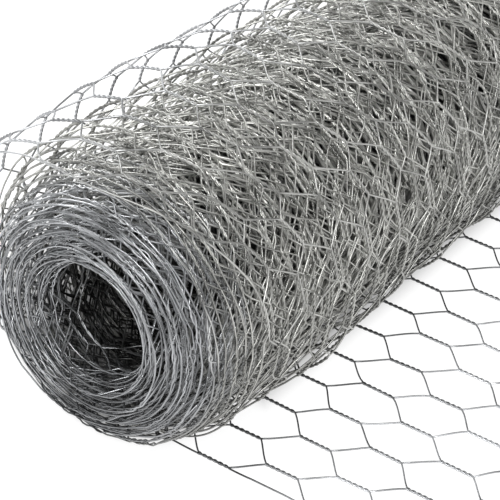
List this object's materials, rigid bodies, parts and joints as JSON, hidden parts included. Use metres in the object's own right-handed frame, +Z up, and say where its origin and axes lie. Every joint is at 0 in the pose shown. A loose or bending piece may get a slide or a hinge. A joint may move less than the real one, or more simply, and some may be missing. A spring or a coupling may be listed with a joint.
{
  "type": "roll of hexagonal wire netting",
  "caption": "Roll of galvanised hexagonal wire netting lying on its side, with a loose outer turn and a flat tail.",
  "frame": {"origin": "middle of the bore, on the roll's axis", "axes": "+X along the roll's axis, towards the end where the inner turns are set back; +Z up; the flat tail runs out towards -Y"},
  "size_m": [0.6375, 0.2671, 0.1512],
  "materials": {
    "galvanised_wire": "satin"
  },
  "bodies": {
    "root": {"wound_roll": "galvanised_wire", "flat_tail": "galvanised_wire", "loose_turn_1": "galvanised_wire", "loose_turn_2": "galvanised_wire", "loose_turn_3": "galvanised_wire", "loose_turn_4": "galvanised_wire", "loose_turn_5": "galvanised_wire", "loose_turn_6": "galvanised_wire"}
  },
  "joints": []
}
